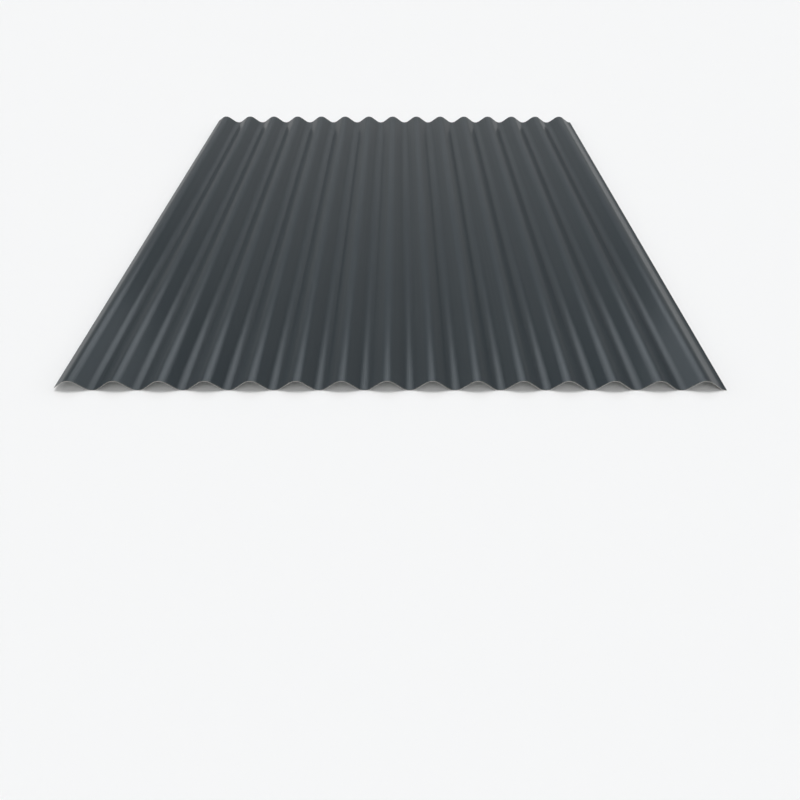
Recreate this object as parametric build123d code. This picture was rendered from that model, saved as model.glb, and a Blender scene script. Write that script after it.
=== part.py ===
from build123d import *

import os
from math import asin, atan2, cos, degrees, hypot, sin

# A corrugated roofing and cladding sheet: one strip of coated steel, roll-formed
# into waves and cut to length. Every bend has the same radius, a straight flank
# joins each crest to the next trough, and the steel keeps one thickness
# throughout.
#
# Millimetres. X runs across the waves and Y along them, with Z up. The sheet lies
# on its troughs, with the origin on the floor under the middle of the sheet.

# The wave
PITCH = 76.0  # from one crest to the next
DEPTH = 18.0  # from trough to crest, on the same face of the steel
STEEL = 0.63  # thickness of the steel with its coatings
ROLL_RADIUS = 20.0  # of every bend, to the middle of the steel

# The sheet
COVER_WAVES = 14  # from the first crest to the last: the width that a laid sheet covers
OVERLAP_LEG = 25.0  # out from the first crest, to the edge that laps over the next sheet
LENGTH = 1500.0

# The underlap edge runs on past the last crest to the bottom of its trough, where
# the next sheet's overlap edge comes down on top of it.
UNDERLAP_LEG = PITCH / 2

# The widest bend that has room between a crest and its trough leaves no flank.
HALF_PITCH = PITCH / 2
WIDEST_BEND = (HALF_PITCH**2 + DEPTH**2) / (4 * DEPTH)
BEND = min(ROLL_RADIUS, WIDEST_BEND)

# The slope of the straight flank that is tangent to both its bends, in radians,
# how far a bend reaches each side of its crest or trough, and the flank's length.
BEND_RISE = 2 * BEND - DEPTH
SLOPE = asin(min(1.0, 2 * BEND / hypot(HALF_PITCH, BEND_RISE))) - atan2(BEND_RISE, HALF_PITCH)
BEND_REACH = BEND * sin(SLOPE)
FLANK = (HALF_PITCH - 2 * BEND_REACH) / cos(SLOPE)
SHORTEST_FLAT = 0.01  # less than this between two bends is left out


def leg_run(leg):
    """The straight length of an edge leg, and the angle that it turns in its trough."""
    trough_start = HALF_PITCH - BEND_REACH
    straight = (min(leg, trough_start) - BEND_REACH) / cos(SLOPE)
    turn = SLOPE - asin((HALF_PITCH - leg) / BEND) if leg > trough_start else 0.0
    return straight, turn


def wave_runs():
    """The strip from its overlap edge to its underlap edge, as (straight length,
    turn) pairs. A turn is in radians: down over a crest, up through a trough."""
    overlap_flat, overlap_turn = leg_run(OVERLAP_LEG)
    underlap_flat, underlap_turn = leg_run(UNDERLAP_LEG)
    crest, trough = -2 * SLOPE, 2 * SLOPE
    runs = [(0.0, overlap_turn), (overlap_flat, crest)]
    runs += [(FLANK, trough), (FLANK, crest)] * COVER_WAVES
    runs += [(underlap_flat, underlap_turn)]
    return SLOPE - overlap_turn, runs


def steel_face(offset):
    """One face of the steel in section, this far above the middle of the strip."""
    heading, runs = wave_runs()
    place = Vector(-sin(heading), cos(heading)) * offset
    face = []
    for straight, turn in runs:
        if straight > SHORTEST_FLAT:
            face.append(PolarLine(place, straight, degrees(heading)))
            place = face[-1] @ 1
        if turn:
            radius = BEND + offset if turn < 0 else BEND - offset
            tangent = Vector(cos(heading), sin(heading))
            face.append(JernArc(place, tangent, radius, degrees(turn)))
            place = face[-1] @ 1
            heading += turn
    return face


def sheet_section():
    """The strip's section across the waves, with its edges slit square to the steel."""
    top = steel_face(STEEL / 2)
    underside = steel_face(-STEEL / 2)
    overlap_edge = Line(underside[0] @ 0, top[0] @ 0)
    underlap_edge = Line(underside[-1] @ 1, top[-1] @ 1)
    return make_face(top + underside + [overlap_edge, underlap_edge])


def corrugated_sheet():
    sheet = extrude(Plane.XZ * sheet_section(), LENGTH / 2, both=True)
    box = sheet.bounding_box()
    middle = box.center()
    return Pos(-middle.X, -middle.Y, -box.min.Z) * sheet


os.makedirs("parts", exist_ok=True)
export_step(corrugated_sheet(), "parts/corrugated_sheet.step")
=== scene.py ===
from math import asin, atan2, cos, hypot, pi, radians, sin

import bpy
from mathutils import Matrix, Vector


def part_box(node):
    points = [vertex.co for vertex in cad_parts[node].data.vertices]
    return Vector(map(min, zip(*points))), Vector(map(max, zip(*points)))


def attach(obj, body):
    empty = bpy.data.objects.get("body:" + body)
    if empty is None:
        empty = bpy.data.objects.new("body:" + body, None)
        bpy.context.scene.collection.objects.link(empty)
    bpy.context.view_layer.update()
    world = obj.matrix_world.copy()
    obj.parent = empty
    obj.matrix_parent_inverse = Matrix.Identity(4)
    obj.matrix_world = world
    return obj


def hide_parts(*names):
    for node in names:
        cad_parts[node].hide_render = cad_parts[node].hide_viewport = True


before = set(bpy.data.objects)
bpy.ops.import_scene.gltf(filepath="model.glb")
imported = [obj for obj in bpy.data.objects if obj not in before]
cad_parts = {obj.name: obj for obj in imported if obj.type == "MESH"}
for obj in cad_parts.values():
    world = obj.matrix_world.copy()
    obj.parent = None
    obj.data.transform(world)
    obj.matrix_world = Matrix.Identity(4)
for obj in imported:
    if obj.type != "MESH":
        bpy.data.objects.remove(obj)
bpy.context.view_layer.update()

# A corrugated steel sheet, coil-coated in satin anthracite, that lies on its troughs.
# Metres, in the frame's own axes: X across the waves, Y along them, Z up.

# The wave, and the steel that it is rolled from
PITCH = 0.076
DEPTH = 0.018
STEEL = 0.00063
BEND = 0.020  # radius of every bend, to the middle of the steel
COVER_WAVES = 14  # from the first crest to the last
OVERLAP_LEG = 0.025  # out from the first crest, to the edge that laps over a neighbour

# How finely the rolled steel is divided: enough for a smooth crest seen close up
FACETS_PER_WAVE = 72
STRIPS_ALONG = 16

# The mesh attribute that keeps each point's place on the flat strip: round the waves from
# the first crest, along the sheet, and above the middle of the steel
STRIP_PLACE = "strip_place"

# A face of the flat slab is its top or its back where the Z of its normal is past this,
# and an edge is one of the slab's corners where its faces meet at more than this (radians)
FACES_UP = 0.5
SQUARE_FOLD = 0.5

# The arithmetic that carries a point of the flat strip to its place on the wave. Each row
# is the name of a value, a Math operation, and what it works on: numbers, inputs of the
# tree, and values from the rows above. "flat x" and "flat z" are the point's place on the
# slab, "look" is the Z of its face's normal, and "fold" is the angle at its edge.
ROLLING = (
    ("bend strip", "MULTIPLY", "Bend Radius", "Flank Slope"),
    ("half wave", "MULTIPLY_ADD", "bend strip", 2.0, "Flank Length"),
    ("wave strip", "MULTIPLY", "half wave", 2.0),
    # Along the strip from the first crest, then from the nearest crest
    ("half width", "MULTIPLY", "Strip Width", 0.5),
    ("from edge", "ADD", "flat x", "half width"),
    ("from first crest", "SUBTRACT", "from edge", "Overlap Strip"),
    ("waves along", "DIVIDE", "from first crest", "wave strip"),
    ("nearest crest", "ROUND", "waves along"),
    ("crest along", "MULTIPLY", "nearest crest", "wave strip"),
    ("from crest", "SUBTRACT", "from first crest", "crest along"),
    ("side", "SIGN", "from crest"),
    ("run", "ABSOLUTE", "from crest"),
    # What it has turned over the crest, has still to turn, and has run straight between
    ("crest arc", "DIVIDE", "run", "Bend Radius"),
    ("crest turn", "MINIMUM", "crest arc", "Flank Slope"),
    ("to trough", "SUBTRACT", "half wave", "run"),
    ("trough arc", "DIVIDE", "to trough", "Bend Radius"),
    ("trough turn", "MINIMUM", "trough arc", "Flank Slope"),
    ("most turned", "ADD", "crest turn", "Flank Slope"),
    ("turned", "SUBTRACT", "most turned", "trough turn"),
    ("bent", "MULTIPLY", "turned", "Bend Radius"),
    ("straight", "SUBTRACT", "run", "bent"),
    # Above the middle of the steel, a crest is wider and a trough is tighter
    ("above", "MULTIPLY", "flat z", "Steel"),
    ("crest radius", "ADD", "Bend Radius", "above"),
    ("trough radius", "SUBTRACT", "Bend Radius", "above"),
    ("slope sine", "SINE", "Flank Slope"),
    ("slope cosine", "COSINE", "Flank Slope"),
    # Across: out from the crest by its arc, the flank and the trough's arc
    ("crest sine", "SINE", "crest turn"),
    ("crest out", "MULTIPLY", "crest radius", "crest sine"),
    ("flank out", "MULTIPLY", "straight", "slope cosine"),
    ("trough sine", "SINE", "trough turn"),
    ("trough part", "SUBTRACT", "slope sine", "trough sine"),
    ("trough out", "MULTIPLY", "trough radius", "trough part"),
    ("bend and flank out", "ADD", "crest out", "flank out"),
    ("out", "ADD", "bend and flank out", "trough out"),
    ("crest x", "MULTIPLY_ADD", "nearest crest", "Pitch", "First Crest"),
    ("wave x", "MULTIPLY_ADD", "side", "out", "crest x"),
    # Up: the crest's arc above its centre, down the flank, and round the trough's arc
    ("crest cosine", "COSINE", "crest turn"),
    ("crest up", "MULTIPLY", "crest radius", "crest cosine"),
    ("flank down", "MULTIPLY", "straight", "slope sine"),
    ("trough cosine", "COSINE", "trough turn"),
    ("trough drop", "SUBTRACT", "slope cosine", "trough cosine"),
    ("trough up", "MULTIPLY", "trough radius", "trough drop"),
    ("under crest", "SUBTRACT", "Depth", "Bend Radius"),
    ("crest centre", "MULTIPLY_ADD", "Steel", 0.5, "under crest"),
    ("bends up", "ADD", "crest up", "trough up"),
    ("up", "SUBTRACT", "bends up", "flank down"),
    ("wave z", "ADD", "crest centre", "up"),
    # Which faces are broad, and which edges are the slab's corners
    ("is top", "GREATER_THAN", "look", FACES_UP),
    ("is back", "LESS_THAN", "look", -FACES_UP),
    ("is broad", "ADD", "is top", "is back"),
    ("is corner", "GREATER_THAN", "fold", SQUARE_FOLD),
)

# The sizes of the finishes' patterns, as they are drawn
FILM_PATCH = 0.15
ROLL_LINE = 0.003
ORANGE_PEEL = 0.0025
PEEL_RELIEF = 0.0001
ZINC_GRAIN = 0.002
SHEAR_SCORE = 0.0008

# A pattern's width over its length, where it is drawn out along the sheet
ROLL_LINE_STRETCH = 0.003
GRAIN_STRETCH = 0.02

# The colour sockets of a Mix node, which go by number: two inputs and the output
MIX_FROM, MIX_TO, MIXED = 6, 7, 2

# The camera that took the photograph, worked out from the waves' own perspective
PHOTO_SIDE = 800  # pixels
FOCAL_LENGTH = 791.9  # pixels
CAMERA_PLACE = (0.0135, -1.8372, 0.7624)
CAMERA_TILT = radians(35.73)  # down from level
CAMERA_TURN = radians(0.10)
CAMERA_ROLL = radians(0.06)

FLOOR_SIDE = 60.0
SIGHT = 200.0  # how far the camera sees: past the floor's far corners

# The pale walls, and the dim ceiling over them. A strength of 1 is white.
WALL_LEVEL = 0.47
CEILING_LEVEL = 0.05
WALL_TOP = 21.0  # degrees above the horizon, where the walls fade into the ceiling
WALL_FADE = 2.0  # degrees above and below that

# Lamps too far off to light one place more than another: each one's name, azimuth
# (clockwise from +Y), elevation and spread in degrees, level, and colour. Lamps, walls and
# ceiling together lay a level of 1 on the floor.
WHITE = "#FFFFFF"
COOL_WHITE = "#EEF7FF"  # of the lamps whose sheen shows on the sheet
LAMPS = (
    # Overhead, in front and at both sides: broad lamps that give most of the level
    ("overhead_light", 0, 70, 30, 0.47, WHITE),
    ("front_light", 180, 45, 60, 0.27, WHITE),
    ("left_light", -80, 25, 30, 0.27, WHITE),
    ("right_light", 80, 25, 30, 0.17, WHITE),
    # Beyond the sheet: an arch of small lamps whose sheen runs down every wave
    ("arch_light_1", -24, 31.4, 10, 0.023, COOL_WHITE),
    ("arch_light_2", -12.8, 35.6, 10, 0.032, COOL_WHITE),
    ("arch_light_3", 0, 37, 10, 0.042, COOL_WHITE),
    ("arch_light_4", 12.8, 35.6, 10, 0.032, COOL_WHITE),
    ("arch_light_5", 24, 31.4, 10, 0.016, COOL_WHITE),
)


def hex_colour(code):
    """An sRGB hex colour as linear RGBA."""
    channels = [int(code[i : i + 2], 16) / 255 for i in (1, 3, 5)]
    linear = [c / 12.92 if c <= 0.04045 else ((c + 0.055) / 1.055) ** 2.4 for c in channels]
    return (*linear, 1.0)


def add(tree, kind, inputs=(), **settings):
    """A new node with its settings. Each input, by name or number, is linked or set."""
    node = tree.nodes.new(kind)
    for name, value in settings.items():
        setattr(node, name, value)
    for key, value in dict(inputs).items():
        if isinstance(value, bpy.types.NodeSocket):
            tree.links.new(value, node.inputs[key])
        else:
            node.inputs[key].default_value = value
    return node


# The sheet


def flank_shape():
    """The slope and length of the straight steel between two bends, tangent to both."""
    rise = 2 * BEND - DEPTH
    slope = asin(2 * BEND / hypot(PITCH / 2, rise)) - atan2(rise, PITCH / 2)
    return slope, (PITCH / 2 - 2 * BEND * sin(slope)) / cos(slope)


def roll_forming(coat, back, cut):
    """A Geometry Nodes tree that rolls a flat strip into waves, as the mill does.

    The strip is a slab, flat and one unit thick. A point's distance along the strip from
    the nearest crest gives the turn that it has made over that crest, the straight that
    it has run down the flank, and the turn still to make before the trough. Its height in
    the slab gives how far it lies above or below the middle of the steel."""
    tree = bpy.data.node_groups.new("roll_forming", "GeometryNodeTree")
    tree.interface.new_socket("Geometry", in_out="OUTPUT", socket_type="NodeSocketGeometry")
    for name in (
        "Pitch",
        "Depth",
        "Steel",
        "Bend Radius",
        "Flank Slope",
        "Flank Length",
        "Strip Width",
        "Overlap Strip",
        "First Crest",
        "Sheet Length",
    ):
        tree.interface.new_socket(name, in_out="INPUT", socket_type="NodeSocketFloat")
    for name in ("Points Across", "Points Along"):
        tree.interface.new_socket(name, in_out="INPUT", socket_type="NodeSocketInt")
    values = {socket.name: socket for socket in add(tree, "NodeGroupInput").outputs}

    # The flat slab, with each face's direction and each corner edge kept from before it is
    # rolled
    slab_size = add(
        tree,
        "ShaderNodeCombineXYZ",
        {"X": values["Strip Width"], "Y": values["Sheet Length"], "Z": 1.0},
    )
    slab = add(
        tree,
        "GeometryNodeMeshCube",
        {
            "Size": slab_size.outputs[0],
            "Vertices X": values["Points Across"],
            "Vertices Y": values["Points Along"],
            "Vertices Z": 2,
        },
    )
    facing = add(tree, "GeometryNodeCaptureAttribute", domain="FACE")
    facing.capture_items.new("VECTOR", "Facing")
    tree.links.new(slab.outputs["Mesh"], facing.inputs["Geometry"])
    tree.links.new(add(tree, "GeometryNodeInputNormal").outputs[0], facing.inputs["Facing"])
    corners = add(tree, "GeometryNodeCaptureAttribute", domain="EDGE")
    corners.capture_items.new("BOOLEAN", "Corner")
    tree.links.new(facing.outputs["Geometry"], corners.inputs["Geometry"])

    place = add(tree, "GeometryNodeInputPosition").outputs[0]
    flat = add(tree, "ShaderNodeSeparateXYZ", {0: place}).outputs
    look = add(tree, "ShaderNodeSeparateXYZ", {0: facing.outputs["Facing"]}).outputs
    fold = add(tree, "GeometryNodeInputMeshEdgeAngle").outputs["Unsigned Angle"]
    values |= {"flat x": flat["X"], "flat z": flat["Z"], "look": look["Z"], "fold": fold}
    for name, operation, *terms in ROLLING:
        inputs = {number: values.get(term, term) for number, term in enumerate(terms)}
        values[name] = add(tree, "ShaderNodeMath", inputs, operation=operation).outputs[0]
    tree.links.new(values["is corner"], corners.inputs["Corner"])

    # The place on the flat strip is kept, so that a finish can follow the steel
    on_strip = add(
        tree,
        "ShaderNodeCombineXYZ",
        {"X": values["from first crest"], "Y": flat["Y"], "Z": values["above"]},
    )
    kept = add(
        tree,
        "GeometryNodeStoreNamedAttribute",
        {
            "Geometry": corners.outputs["Geometry"],
            "Name": STRIP_PLACE,
            "Value": on_strip.outputs[0],
        },
        data_type="FLOAT_VECTOR",
        domain="POINT",
    )
    on_wave = add(
        tree,
        "ShaderNodeCombineXYZ",
        {"X": values["wave x"], "Y": flat["Y"], "Z": values["wave z"]},
    )
    waves = add(
        tree,
        "GeometryNodeSetPosition",
        {"Geometry": kept.outputs[0], "Position": on_wave.outputs[0]},
    )

    # The broad faces shade smoothly, and the cut edges stay flat and sharp
    smooth = add(
        tree,
        "GeometryNodeSetShadeSmooth",
        {"Geometry": waves.outputs[0], "Shade Smooth": values["is broad"]},
        domain="FACE",
    )
    crisp = add(
        tree,
        "GeometryNodeSetShadeSmooth",
        {
            "Geometry": smooth.outputs[0],
            "Selection": corners.outputs["Corner"],
            "Shade Smooth": False,
        },
        domain="EDGE",
    )
    shape = add(tree, "GeometryNodeRealizeInstances", {"Geometry": crisp.outputs[0]})
    for chosen, material in ((True, cut), (values["is top"], coat), (values["is back"], back)):
        shape = add(
            tree,
            "GeometryNodeSetMaterial",
            {"Geometry": shape.outputs[0], "Selection": chosen, "Material": material},
        )
    add(tree, "NodeGroupOutput", {0: shape.outputs[0]})
    return tree


def roll_formed_sheet(coat, back, cut):
    """The whole sheet as one plain mesh, in its place on the floor."""
    slope, flank = flank_shape()
    half_wave = 2 * BEND * slope + flank
    overlap_strip = BEND * slope + (OVERLAP_LEG - BEND * sin(slope)) / cos(slope)
    strip = overlap_strip + (2 * COVER_WAVES + 1) * half_wave
    low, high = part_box("corrugated_sheet")
    sizes = {
        "Pitch": PITCH,
        "Depth": DEPTH,
        "Steel": STEEL,
        "Bend Radius": BEND,
        "Flank Slope": slope,
        "Flank Length": flank,
        "Strip Width": strip,
        "Overlap Strip": overlap_strip,
        "First Crest": low.x + STEEL / 2 * sin(slope) + OVERLAP_LEG,
        "Sheet Length": high.y - low.y,
        "Points Across": round(strip / (2 * half_wave) * FACETS_PER_WAVE) + 1,
        "Points Along": STRIPS_ALONG + 1,
    }
    sheet = bpy.data.objects.new("roll_formed_sheet", bpy.data.meshes.new("blank"))
    bpy.context.scene.collection.objects.link(sheet)
    mill = sheet.modifiers.new("roll_forming", "NODES")
    mill.node_group = roll_forming(coat, back, cut)
    for socket in mill.node_group.interface.items_tree:
        if socket.in_out == "INPUT":
            mill[socket.identifier] = sizes[socket.name]
    rolled = sheet.evaluated_get(bpy.context.evaluated_depsgraph_get())
    sheet.data = bpy.data.meshes.new_from_object(rolled)
    sheet.data.name = "roll_formed_sheet"
    sheet.data.materials.pop(index=0)  # the empty slot that the flat slab came with
    sheet.modifiers.remove(mill)
    return sheet


# Materials


def blank_material(name):
    """A named material, and its node tree with nothing in it."""
    material = bpy.data.materials.new(name)
    material.use_nodes = True
    material.node_tree.nodes.clear()
    return material, material.node_tree


def satin_polyester_coat():
    """Polyester coil coat in anthracite, laid on galvanised steel by rollers and baked.
    Matting agent spreads most of its gloss wide, and the clear skin over it keeps a
    narrower sheen. It gives an even satin with a fine orange peel, a film that varies very
    slightly over a hand's breadth, and faint lengthwise lines where the forming rolls
    polished it."""
    material, tree = blank_material("satin_polyester_coat")
    strip = add(tree, "ShaderNodeAttribute", attribute_name=STRIP_PLACE).outputs["Vector"]
    film = add(
        tree,
        "ShaderNodeTexNoise",
        {"Vector": strip, "Scale": 1 / FILM_PATCH, "Detail": 2.0, "Roughness": 0.5},
    )
    colour = add(
        tree,
        "ShaderNodeMix",
        {
            "Factor": film.outputs["Fac"],
            MIX_FROM: hex_colour("#283035"),
            MIX_TO: hex_colour("#2C3438"),
        },
        data_type="RGBA",
    )

    # Roll lines are 1 mm to 3 mm wide and run the whole length
    drawn = add(
        tree,
        "ShaderNodeMapping",
        {"Vector": strip, "Scale": (1.0, ROLL_LINE_STRETCH, 1.0)},
    )
    lines = add(
        tree,
        "ShaderNodeTexNoise",
        {"Vector": drawn.outputs[0], "Scale": 1 / ROLL_LINE, "Detail": 2.0},
    )
    roughness = add(
        tree,
        "ShaderNodeMapRange",
        {"Value": lines.outputs["Fac"], "To Min": 0.46, "To Max": 0.54},
    )

    # Orange peel is about 1 mm from dimple to dimple. It is drawn at 2.5 mm, to show.
    peel = add(
        tree,
        "ShaderNodeTexNoise",
        {"Vector": strip, "Scale": 1 / ORANGE_PEEL, "Detail": 1.0},
    )
    bump = add(
        tree,
        "ShaderNodeBump",
        {"Height": peel.outputs["Fac"], "Strength": 0.2, "Distance": PEEL_RELIEF},
    )
    shader = add(
        tree,
        "ShaderNodeBsdfPrincipled",
        {
            "Base Color": colour.outputs[MIXED],
            "Roughness": roughness.outputs[0],
            "Normal": bump.outputs[0],
            "IOR": 1.5,
            "Specular IOR Level": 0.21,
            "Coat Weight": 0.21,
            "Coat Roughness": 0.13,
            "Coat Normal": bump.outputs[0],
        },
    )
    add(tree, "ShaderNodeOutputMaterial", {"Surface": shader.outputs[0]})
    return material


def epoxy_back_coat():
    """Epoxy back coat in pale grey, a few microns thin. It is duller than the face, and
    the rolled grain of the zinc shows through it as soft lengthwise streaks."""
    material, tree = blank_material("epoxy_back_coat")
    strip = add(tree, "ShaderNodeAttribute", attribute_name=STRIP_PLACE).outputs["Vector"]
    # Rolled grain is a few tenths of a millimetre wide. It is drawn at 2 mm, to show.
    drawn = add(
        tree,
        "ShaderNodeMapping",
        {"Vector": strip, "Scale": (1.0, GRAIN_STRETCH, 1.0)},
    )
    grain = add(
        tree,
        "ShaderNodeTexNoise",
        {"Vector": drawn.outputs[0], "Scale": 1 / ZINC_GRAIN, "Detail": 3.0},
    )
    colour = add(
        tree,
        "ShaderNodeMix",
        {
            "Factor": grain.outputs["Fac"],
            MIX_FROM: hex_colour("#A8ABAA"),
            MIX_TO: hex_colour("#BCBFBD"),
        },
        data_type="RGBA",
    )
    roughness = add(
        tree,
        "ShaderNodeMapRange",
        {"Value": grain.outputs["Fac"], "To Min": 0.46, "To Max": 0.60},
    )
    shader = add(
        tree,
        "ShaderNodeBsdfPrincipled",
        {"Base Color": colour.outputs[MIXED], "Roughness": roughness.outputs[0], "IOR": 1.5},
    )
    add(tree, "ShaderNodeOutputMaterial", {"Surface": shader.outputs[0]})
    return material


def sheared_zinc_edge():
    """Galvanised steel, sheared to length: bare bright metal at the cut, scored with
    fine lines through its thickness where the blade burnished it and then tore it."""
    material, tree = blank_material("sheared_zinc_edge")
    strip = add(tree, "ShaderNodeAttribute", attribute_name=STRIP_PLACE).outputs["Vector"]
    # Scores are about 0.1 mm apart. They are drawn at 0.8 mm, to show.
    scores = add(
        tree,
        "ShaderNodeTexNoise",
        {"Vector": strip, "Scale": 1 / SHEAR_SCORE, "Detail": 2.0},
    )
    colour = add(
        tree,
        "ShaderNodeMix",
        {
            "Factor": scores.outputs["Fac"],
            MIX_FROM: hex_colour("#B7B4AE"),
            MIX_TO: hex_colour("#D3D0CA"),
        },
        data_type="RGBA",
    )
    roughness = add(
        tree,
        "ShaderNodeMapRange",
        {"Value": scores.outputs["Fac"], "To Min": 0.40, "To Max": 0.60},
    )
    shader = add(
        tree,
        "ShaderNodeBsdfPrincipled",
        {
            "Base Color": colour.outputs[MIXED],
            "Roughness": roughness.outputs[0],
            "Metallic": 1.0,
        },
    )
    add(tree, "ShaderNodeOutputMaterial", {"Surface": shader.outputs[0]})
    return material


def white_studio_floor():
    """Matt white paint on a smooth floor: a pale, even ground that keeps its shadows."""
    material, tree = blank_material("white_studio_floor")
    shader = add(
        tree,
        "ShaderNodeBsdfPrincipled",
        {"Base Color": hex_colour("#F7F7F7"), "Roughness": 0.9, "Specular IOR Level": 0.0},
    )
    add(tree, "ShaderNodeOutputMaterial", {"Surface": shader.outputs[0]})
    return material


# The studio


def studio_floor():
    half = FLOOR_SIDE / 2
    corners = [(-half, -half, 0), (half, -half, 0), (half, half, 0), (-half, half, 0)]
    mesh = bpy.data.meshes.new("studio_floor")
    mesh.from_pydata(corners, [], [(0, 1, 2, 3)])
    mesh.materials.append(white_studio_floor())
    floor = bpy.data.objects.new("studio_floor", mesh)
    bpy.context.scene.collection.objects.link(floor)


def far_lamp(name, azimuth, elevation, spread, level, colour):
    """A round lamp. A level of 1 shows a colour as it is written, on a face that looks
    straight at the lamp."""
    light = bpy.data.lights.new(name, "SUN")
    light.angle = radians(spread)
    light.energy = level * pi
    light.color = hex_colour(colour)[:3]
    turn, lift = radians(azimuth), radians(elevation)
    away = Vector((sin(turn) * cos(lift), cos(turn) * cos(lift), sin(lift)))
    holder = bpy.data.objects.new(name, light)
    holder.rotation_euler = away.to_track_quat("Z", "Y").to_euler()
    bpy.context.scene.collection.objects.link(holder)


def studio_walls():
    """Pale walls all round, under a dim ceiling."""
    world = bpy.data.worlds.new("studio_walls")
    world.use_nodes = True
    tree = world.node_tree
    tree.nodes.clear()
    way = add(tree, "ShaderNodeTexCoord").outputs["Generated"]
    lift = add(tree, "ShaderNodeSeparateXYZ", {0: way}).outputs["Z"]
    level = add(
        tree,
        "ShaderNodeMapRange",
        {
            "Value": lift,
            "From Min": sin(radians(WALL_TOP - WALL_FADE)),
            "From Max": sin(radians(WALL_TOP + WALL_FADE)),
            "To Min": WALL_LEVEL,
            "To Max": CEILING_LEVEL,
        },
        interpolation_type="SMOOTHSTEP",
    )
    glow = add(
        tree,
        "ShaderNodeBackground",
        {"Color": hex_colour(WHITE), "Strength": level.outputs[0]},
    )
    add(tree, "ShaderNodeOutputWorld", {"Surface": glow.outputs[0]})
    bpy.context.scene.world = world


def photograph_camera():
    camera = bpy.data.cameras.new("photograph_camera")
    camera.lens = FOCAL_LENGTH / PHOTO_SIDE * camera.sensor_width
    camera.clip_end = SIGHT
    holder = bpy.data.objects.new("photograph_camera", camera)
    bpy.context.scene.collection.objects.link(holder)
    holder.matrix_world = (
        Matrix.Translation(CAMERA_PLACE)
        @ Matrix.Rotation(-CAMERA_TURN, 4, "Z")
        @ Matrix.Rotation(pi / 2 - CAMERA_TILT, 4, "X")
        @ Matrix.Rotation(CAMERA_ROLL, 4, "Z")
    )
    bpy.context.scene.camera = holder


sheet = roll_formed_sheet(satin_polyester_coat(), epoxy_back_coat(), sheared_zinc_edge())
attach(sheet, "root")
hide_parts("corrugated_sheet")

studio_floor()
studio_walls()
for lamp in LAMPS:
    far_lamp(*lamp)
photograph_camera()
bpy.context.scene.view_settings.view_transform = "Standard"
